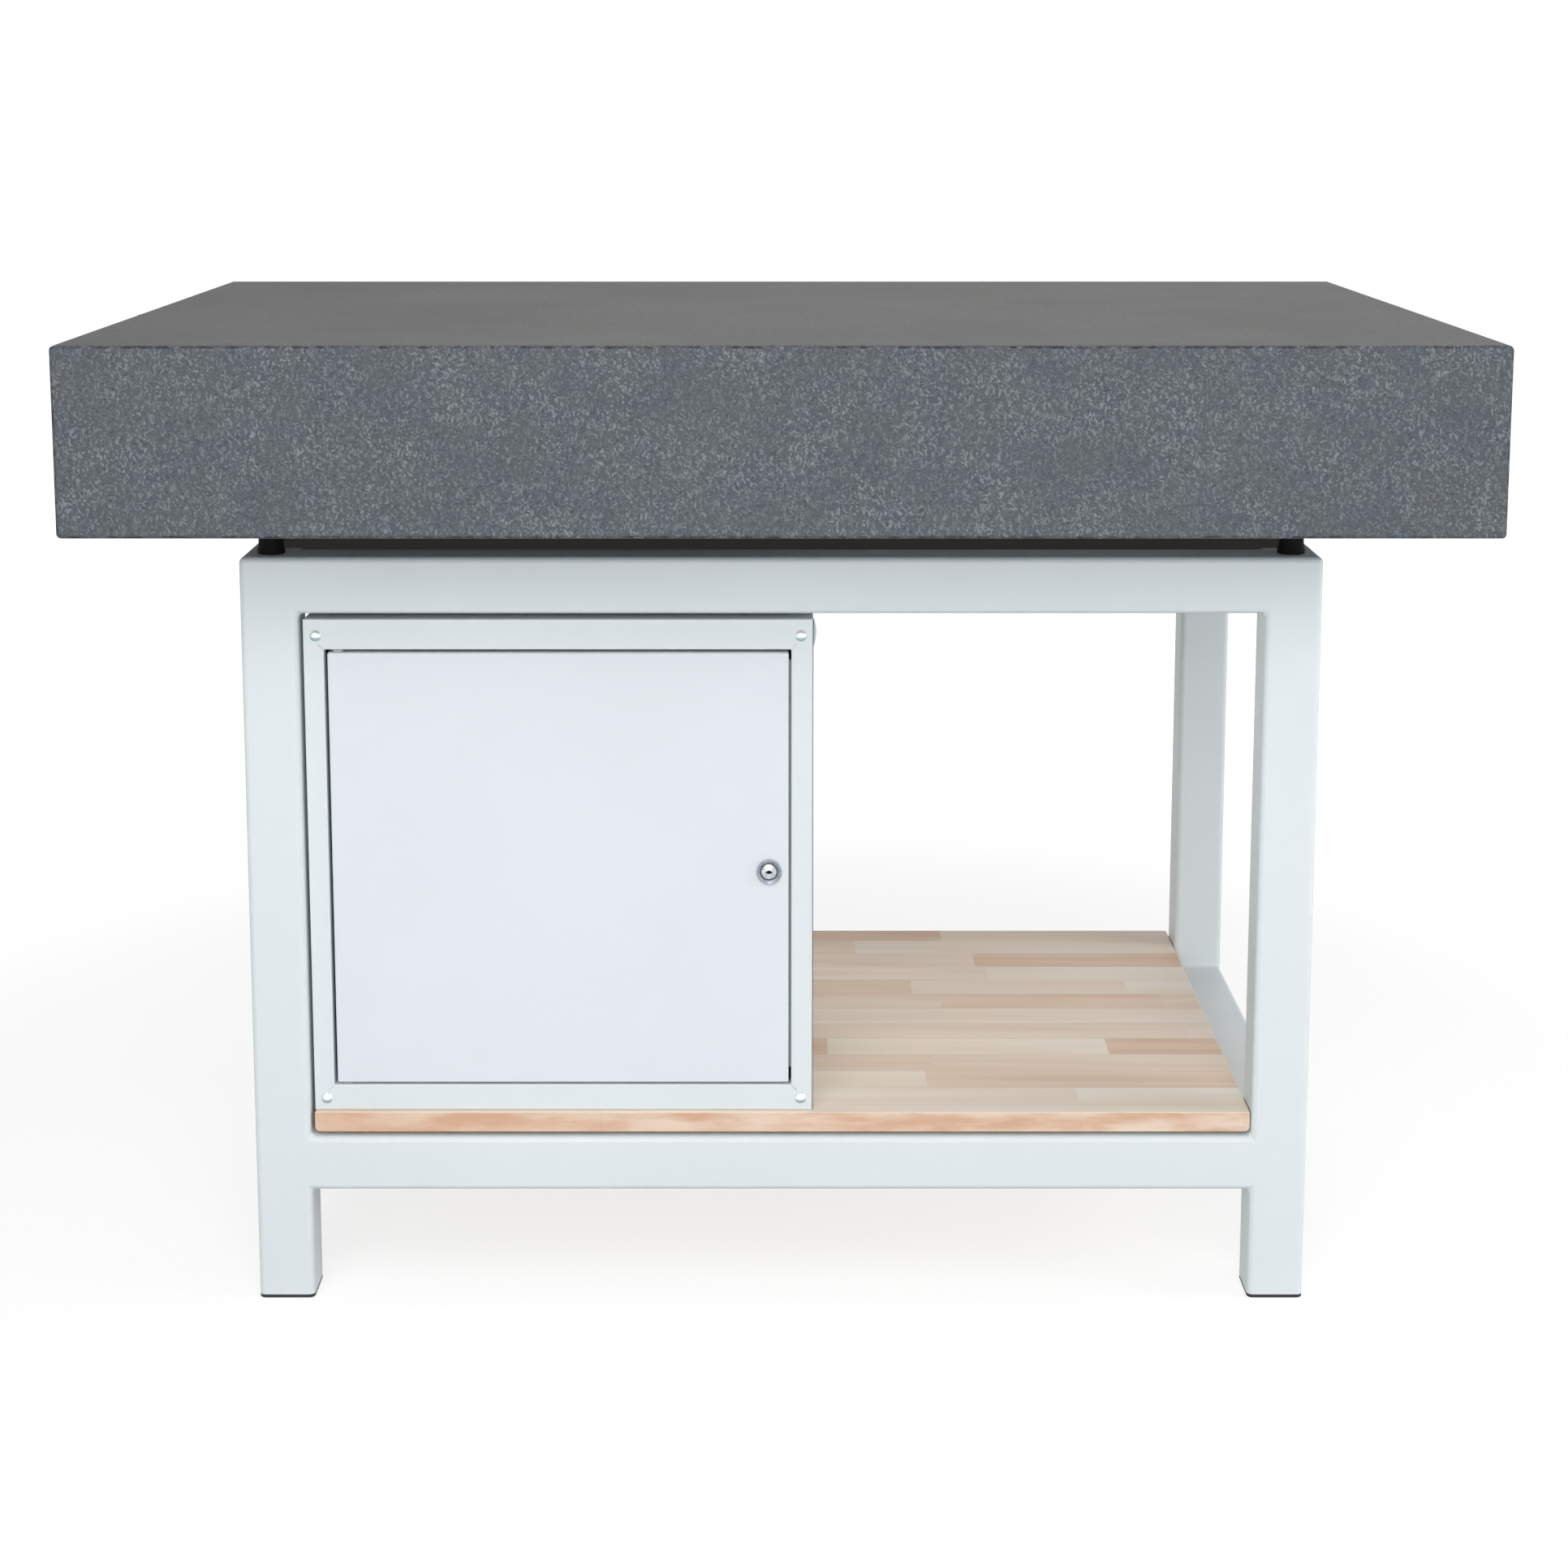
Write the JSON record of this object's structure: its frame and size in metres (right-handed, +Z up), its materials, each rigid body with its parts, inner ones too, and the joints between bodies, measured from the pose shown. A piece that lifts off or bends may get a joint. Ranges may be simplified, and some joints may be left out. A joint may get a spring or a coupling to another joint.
{
  "type": "granite surface plate with cabinet",
  "caption": "Granite surface plate on a welded square-tube stand with a wooden shelf board and a lockable sheet-metal cabinet whose hinged door closes with a cam lock.",
  "frame": {"origin": "on the floor, under the centre of the plate", "axes": "+Z up, the front with the cabinet door faces -Y, the plate's long side runs along X and the cabinet stands at -X"},
  "size_m": [1.2, 0.8, 0.875],
  "materials": {
    "granite": "finely ground, satin",
    "powder_coat": "light grey powder coat, satin",
    "black_rubber": "matt black",
    "black_plastic": "matt black",
    "beech": "glued staves, matt oil",
    "nylon": "natural nylon",
    "bare_steel": "drawn steel",
    "zinc_plate": "zinc plated",
    "chrome": "nickel-chrome plated, satin"
  },
  "bodies": {
    "stand": {"granite_plate": "granite", "support_pad_front_left": "black_rubber", "leg_front_left": "powder_coat", "foot_cap_front_left": "black_plastic", "support_pad_front_right": "black_rubber", "leg_front_right": "powder_coat", "foot_cap_front_right": "black_plastic", "support_pad_rear_right": "black_rubber", "leg_rear_right": "powder_coat", "foot_cap_rear_right": "black_plastic", "support_pad_rear_left": "black_rubber", "leg_rear_left": "powder_coat", "foot_cap_rear_left": "black_plastic", "top_rail_front": "powder_coat", "top_rail_rear": "powder_coat", "top_rail_left": "powder_coat", "top_rail_right": "powder_coat", "lower_rail_front": "powder_coat", "lower_rail_rear": "powder_coat", "lower_rail_left": "powder_coat", "lower_rail_right": "powder_coat", "shelf_board": "beech", "cabinet_body": "powder_coat", "cabinet_back": "powder_coat", "front_frame": "powder_coat", "door_stop": "powder_coat", "side_plug_left": "powder_coat", "side_plug_right": "powder_coat", "inner_shelf": "powder_coat", "frame_rivet_bottom_left": "powder_coat", "frame_rivet_bottom_right": "powder_coat", "frame_rivet_top_left": "powder_coat", "frame_rivet_top_right": "powder_coat", "shelf_stud_front_left": "zinc_plate", "shelf_stud_front_right": "zinc_plate", "shelf_stud_rear_left": "zinc_plate", "shelf_stud_rear_right": "zinc_plate", "hinge_pin_top": "bare_steel", "hinge_pin_bottom": "bare_steel"},
    "door": {"door_panel": "powder_coat", "hinge_bush_top": "nylon", "hinge_bush_bottom": "nylon", "lock_housing": "chrome", "lock_nut": "zinc_plate"},
    "lock": {"lock_plug": "chrome", "lock_cam": "zinc_plate", "cam_screw": "zinc_plate"}
  },
  "joints": [
    {"name": "door_hinge", "type": "hinge", "parent": "stand", "child": "door", "pos_m": [-0.3897, -0.264, 0.397], "axis": [0, 0, -1], "range_deg": [0, 110]},
    {"name": "lock_turn", "type": "hinge", "parent": "door", "child": "lock", "pos_m": [-0.0107, -0.27, 0.3958], "axis": [0, 1, 0], "range_deg": [0, 90]}
  ]
}
